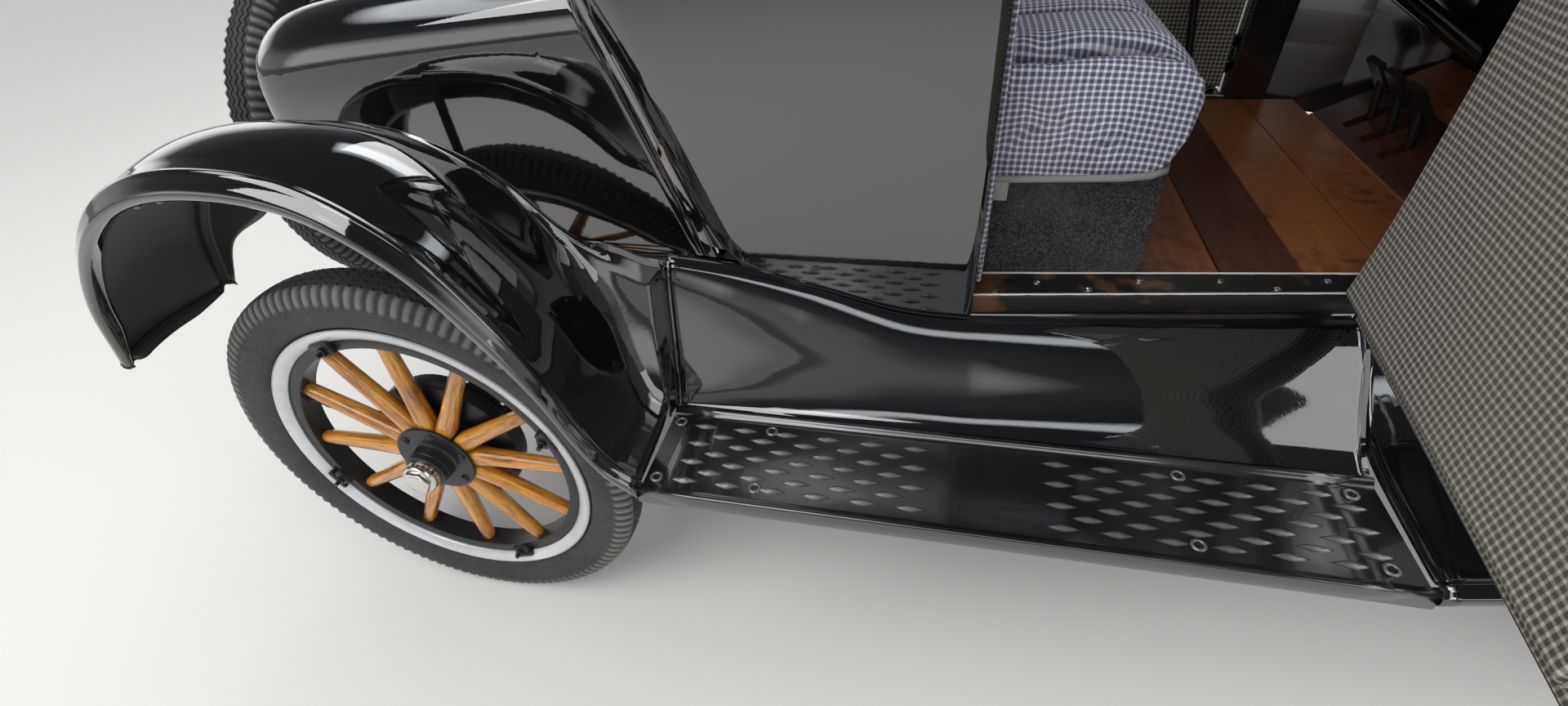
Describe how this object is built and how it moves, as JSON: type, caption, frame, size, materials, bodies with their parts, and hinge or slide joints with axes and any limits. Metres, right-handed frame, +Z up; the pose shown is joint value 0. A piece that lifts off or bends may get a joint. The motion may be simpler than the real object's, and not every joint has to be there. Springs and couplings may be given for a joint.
{
  "type": "vintage coupe car",
  "caption": "Closed vintage motor car with wood-spoked wheels, opening doors, a folding bonnet, a luggage lid and a spare wheel carried behind.",
  "frame": {"origin": "on the ground, on the car's middle plane, halfway between the axles", "axes": "+X forward, +Y to the car's left, +Z up"},
  "size_m": [3.4817, 1.8906, 1.909],
  "materials": {
    "body_black": "gloss",
    "board_black": "satin, worn",
    "chassis_black": "satin",
    "spring_steel": "dull",
    "engine_iron": "dull",
    "rim_grey": "satin",
    "spoke_wood": "varnished",
    "tyre_rubber": "matte",
    "sill_plate": "worn",
    "floor_wood": "varnished",
    "carpet": "pile",
    "check_cloth": "woven",
    "hand_rim": "gloss",
    "top_cloth": "grained",
    "clear_glass": "clear"
  },
  "bodies": {
    "chassis": {"frame": "chassis_black", "springs": "spring_steel", "rear_axle": "chassis_black", "front_axle": "chassis_black", "steering_column": "body_black", "engine": "engine_iron", "radiator": "body_black", "cowl": "body_black", "cab": "body_black", "sills": "sill_plate", "floor": "floor_wood", "controls": "chassis_black", "seat_base": "carpet", "seat_cushion": "check_cloth", "seat_back": "check_cloth", "roof": "top_cloth", "windscreen": "body_black", "glass": "clear_glass", "deck": "body_black", "fenders": "body_black", "running_boards": "board_black", "aprons": "body_black", "lamps": "body_black", "spare_tyre": "tyre_rubber", "spare_carrier": "rim_grey"},
    "left_knuckle": {"left_knuckle": "chassis_black"},
    "right_knuckle": {"right_knuckle": "chassis_black"},
    "tie_rod": {"tie_rod": "chassis_black"},
    "column_arm": {"column_arm": "chassis_black"},
    "steering_wheel": {"steering_wheel": "hand_rim"},
    "left_hood": {"left_hood": "body_black"},
    "right_hood": {"right_hood": "body_black"},
    "deck_lid": {"deck_lid": "body_black"},
    "left_door": {"left_door": "body_black", "left_door_glass": "clear_glass"},
    "right_door": {"right_door": "body_black", "right_door_glass": "clear_glass"},
    "front_left_wheel": {"front_left_tyre": "tyre_rubber", "front_left_spokes": "spoke_wood", "front_left_hub_and_rim": "rim_grey"},
    "front_right_wheel": {"front_right_tyre": "tyre_rubber", "front_right_spokes": "spoke_wood", "front_right_hub_and_rim": "rim_grey"},
    "rear_left_wheel": {"rear_left_tyre": "tyre_rubber", "rear_left_spokes": "spoke_wood", "rear_left_hub_and_rim": "rim_grey"},
    "rear_right_wheel": {"rear_right_tyre": "tyre_rubber", "rear_right_spokes": "spoke_wood", "rear_right_hub_and_rim": "rim_grey"}
  },
  "joints": [
    {"name": "steer_left", "type": "hinge", "parent": "chassis", "child": "left_knuckle", "pos_m": [1.27, 0.63, 0.392], "axis": [0, 0, 1], "range_deg": [-32, 32]},
    {"name": "steer_right", "type": "hinge", "parent": "chassis", "child": "right_knuckle", "pos_m": [1.27, -0.63, 0.392], "axis": [0, 0, 1], "range_deg": [-32, 32]},
    {"name": "tie_rod_pivot", "type": "hinge", "parent": "left_knuckle", "child": "tie_rod", "pos_m": [1.13, 0.63, 0.359], "axis": [0, 0, 1], "range_deg": [-32, 32]},
    {"name": "column_arm_swing", "type": "hinge", "parent": "chassis", "child": "column_arm", "pos_m": [1.02323, 0.225, 0.56966], "axis": [-0.8431, 0, 0.5378], "range_deg": [-32, 32]},
    {"name": "hand_wheel_turn", "type": "hinge", "parent": "chassis", "child": "steering_wheel", "pos_m": [0.09, 0.225, 1.165], "axis": [-0.8431, 0, 0.5378], "range_deg": [-128, 128]},
    {"name": "front_left_spin", "type": "hinge", "parent": "left_knuckle", "child": "front_left_wheel", "pos_m": [1.27, 0.711, 0.392], "axis": [0, 1, 0], "continuous": true},
    {"name": "front_right_spin", "type": "hinge", "parent": "right_knuckle", "child": "front_right_wheel", "pos_m": [1.27, -0.711, 0.392], "axis": [0, 1, 0], "continuous": true},
    {"name": "rear_left_spin", "type": "hinge", "parent": "chassis", "child": "rear_left_wheel", "pos_m": [-1.27, 0.711, 0.392], "axis": [0, 1, 0], "continuous": true},
    {"name": "rear_right_spin", "type": "hinge", "parent": "chassis", "child": "rear_right_wheel", "pos_m": [-1.27, -0.711, 0.392], "axis": [0, 1, 0], "continuous": true},
    {"name": "left_door_hinge", "type": "hinge", "parent": "chassis", "child": "left_door", "pos_m": [0.244, 0.48955, 1], "axis": [0, 0, 1], "range_deg": [-77.2, 0]},
    {"name": "right_door_hinge", "type": "hinge", "parent": "chassis", "child": "right_door", "pos_m": [0.244, -0.48955, 1], "axis": [0, 0, 1], "range_deg": [-77.2, 0]},
    {"name": "left_hood_hinge", "type": "hinge", "parent": "chassis", "child": "left_hood", "pos_m": [0.62, 0, 1.16], "axis": [0.9993, 0, -0.0387], "range_deg": [0, 62]},
    {"name": "right_hood_hinge", "type": "hinge", "parent": "chassis", "child": "right_hood", "pos_m": [0.62, 0, 1.16], "axis": [0.9993, 0, -0.0387], "range_deg": [-62, 0]},
    {"name": "deck_lid_hinge", "type": "hinge", "parent": "chassis", "child": "deck_lid", "pos_m": [-0.997, 0, 1.14988], "axis": [0, 1, 0], "range_deg": [0, 60]}
  ],
  "couplings": [
    {"joint": "steer_right", "follows": "steer_left", "ratio": 1},
    {"joint": "tie_rod_pivot", "follows": "steer_left", "ratio": -1},
    {"joint": "column_arm_swing", "follows": "steer_left", "ratio": 1},
    {"joint": "hand_wheel_turn", "follows": "steer_left", "ratio": 4}
  ]
}
